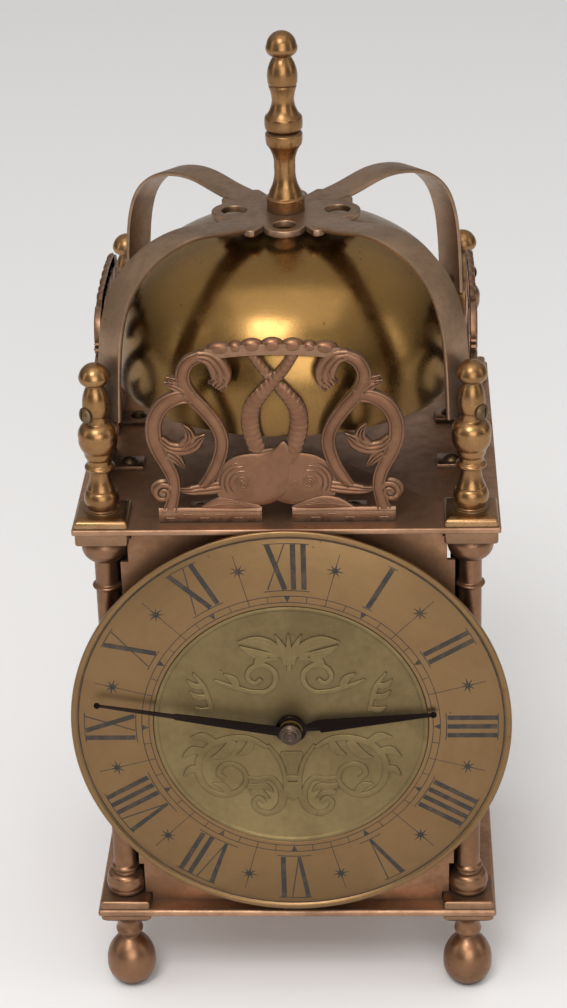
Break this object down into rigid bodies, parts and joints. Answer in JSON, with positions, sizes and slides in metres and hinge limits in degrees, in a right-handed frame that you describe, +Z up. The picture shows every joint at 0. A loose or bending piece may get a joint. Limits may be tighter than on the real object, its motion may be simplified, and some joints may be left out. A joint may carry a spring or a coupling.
{
  "type": "lantern clock",
  "caption": "Spring-driven table lantern clock with four turned columns, a round dial with two hands, a domed bell under crossed straps, pierced frets and a hinged back door.",
  "frame": {"origin": "on the ground under the middle of the whole clock, hands included", "axes": "+Z up, the dial faces -Y, +X is the clock's right as seen from the front"},
  "size_m": [0.1016, 0.0986, 0.2278],
  "materials": {
    "column_brass": "satin, aged, worn bright on the high edges",
    "finial_brass": "polished, aged to golden brown",
    "plate_brass": "satin, dusty, dark patina",
    "panel_brass": "satin copper brown with stains",
    "fret_brass": "satin copper brown",
    "bell_brass": "polished, golden, darker towards the rim",
    "strap_brass": "satin, dark brown patina",
    "chapter_brass": "brushed in circles, black filled numerals",
    "dial_centre_brass": "matte olive grey patina",
    "hand_steel": "blued nearly black, satin",
    "movement_brass": "brushed, clean",
    "movement_steel": "polished steel",
    "spring_steel": "blued steel",
    "screw_steel": "dull, dark in the slots"
  },
  "bodies": {
    "frame": {"base_plate": "plate_brass", "top_plate": "plate_brass", "column_front_left": "column_brass", "column_front_right": "column_brass", "column_back_left": "column_brass", "column_back_right": "column_brass", "foot_front_left": "column_brass", "foot_front_right": "column_brass", "foot_back_left": "column_brass", "foot_back_right": "column_brass", "finial_front_left": "finial_brass", "finial_front_right": "finial_brass", "finial_back_left": "finial_brass", "finial_back_right": "finial_brass", "centre_finial_base": "finial_brass", "centre_finial_top": "finial_brass", "bell": "bell_brass", "bell_frame": "strap_brass", "bell_bolt": "screw_steel", "frame_screws": "screw_steel", "fret_front": "fret_brass", "fret_left": "fret_brass", "fret_right": "fret_brass", "front_panel": "panel_brass", "left_panel": "panel_brass", "right_panel": "panel_brass", "back_panel": "panel_brass", "hinge_pins": "panel_brass", "dial_plate": "panel_brass", "chapter_ring": "chapter_brass", "dial_centre": "dial_centre_brass", "dial_feet": "movement_brass", "movement_front_plate": "movement_brass", "movement_back_plate": "movement_brass", "movement_pillars": "movement_brass", "movement_screws": "screw_steel", "movement_studs": "movement_steel"},
    "door": {"back_door": "panel_brass", "door_knob": "finial_brass"},
    "minute_hand_arbor": {"centre_arbor": "movement_steel", "cannon_pinion": "movement_brass", "minute_hand": "hand_steel", "hand_nut": "movement_steel"},
    "minute_wheel_body": {"minute_wheel": "movement_brass"},
    "hour_hand_wheel": {"hour_wheel": "movement_brass", "hour_hand": "hand_steel"},
    "centre_wheel_body": {"centre_wheel": "movement_brass"},
    "intermediate_wheel_body": {"intermediate_wheel": "movement_brass"},
    "third_wheel_body": {"third_wheel": "movement_brass"},
    "fourth_wheel_body": {"fourth_wheel": "movement_brass"},
    "escape_wheel_body": {"escape_wheel": "movement_brass"},
    "lever": {"pallet_lever": "movement_steel"},
    "balance": {"balance_wheel": "movement_brass", "hairspring": "spring_steel"},
    "barrel_body": {"barrel": "movement_brass", "mainspring": "spring_steel"},
    "winding_arbor": {"barrel_arbor": "movement_steel", "ratchet_wheel": "movement_steel", "winding_key": "movement_steel"},
    "click_body": {"click": "movement_steel"}
  },
  "joints": [
    {"name": "door_hinge", "type": "hinge", "parent": "frame", "child": "door", "pos_m": [-0.0312, 0.04606, 0.0774], "axis": [0, 0, 1], "range_deg": [0, 110]},
    {"name": "minute_turn", "type": "hinge", "parent": "frame", "child": "minute_hand_arbor", "pos_m": [0, -0.03689, 0.0774], "axis": [0, 1, 0], "continuous": true},
    {"name": "minute_wheel_turn", "type": "hinge", "parent": "frame", "child": "minute_wheel_body", "pos_m": [0.00849, -0.03289, 0.06891], "axis": [0, 1, 0], "continuous": true},
    {"name": "hour_turn", "type": "hinge", "parent": "frame", "child": "hour_hand_wheel", "pos_m": [0, -0.03889, 0.0774], "axis": [0, 1, 0], "continuous": true},
    {"name": "centre_wheel_turn", "type": "hinge", "parent": "frame", "child": "centre_wheel_body", "pos_m": [0, -0.01839, 0.0774], "axis": [0, 1, 0], "continuous": true},
    {"name": "intermediate_turn", "type": "hinge", "parent": "frame", "child": "intermediate_wheel_body", "pos_m": [-0.00599, -0.01839, 0.06235], "axis": [0, 1, 0], "continuous": true},
    {"name": "third_wheel_turn", "type": "hinge", "parent": "frame", "child": "third_wheel_body", "pos_m": [0.0096, -0.01839, 0.08813], "axis": [0, 1, 0], "continuous": true},
    {"name": "fourth_wheel_turn", "type": "hinge", "parent": "frame", "child": "fourth_wheel_body", "pos_m": [-0.00001, -0.01839, 0.09572], "axis": [0, 1, 0], "continuous": true},
    {"name": "escape_wheel_turn", "type": "hinge", "parent": "frame", "child": "escape_wheel_body", "pos_m": [-0.01101, -0.01839, 0.09915], "axis": [0, 1, 0], "continuous": true},
    {"name": "lever_rock", "type": "hinge", "parent": "frame", "child": "lever", "pos_m": [-0.01525, -0.01839, 0.09309], "axis": [0, 1, 0], "range_deg": [-2.5, 2.5]},
    {"name": "balance_swing", "type": "hinge", "parent": "frame", "child": "balance", "pos_m": [-0.02156, -0.01839, 0.08407], "axis": [0, 1, 0], "range_deg": [-140, 140]},
    {"name": "barrel_turn", "type": "hinge", "parent": "frame", "child": "barrel_body", "pos_m": [0.00449, -0.01839, 0.0462], "axis": [0, 1, 0], "continuous": true},
    {"name": "winding_turn", "type": "hinge", "parent": "frame", "child": "winding_arbor", "pos_m": [0.00449, -0.00689, 0.0462], "axis": [0, 1, 0], "range_deg": [0, 2340]},
    {"name": "click_lift", "type": "hinge", "parent": "frame", "child": "click_body", "pos_m": [-0.0046, -0.00589, 0.04395], "axis": [0, 1, 0], "range_deg": [-12, 0]}
  ],
  "couplings": [
    {"joint": "minute_wheel_turn", "follows": "minute_turn", "ratio": -0.33333},
    {"joint": "hour_turn", "follows": "minute_turn", "ratio": 0.083333},
    {"joint": "third_wheel_turn", "follows": "fourth_wheel_turn", "ratio": -0.13333},
    {"joint": "centre_wheel_turn", "follows": "fourth_wheel_turn", "ratio": 0.016667},
    {"joint": "intermediate_turn", "follows": "fourth_wheel_turn", "ratio": -0.0033333},
    {"joint": "barrel_turn", "follows": "fourth_wheel_turn", "ratio": 0.00055556},
    {"joint": "escape_wheel_turn", "follows": "fourth_wheel_turn", "ratio": -8}
  ]
}
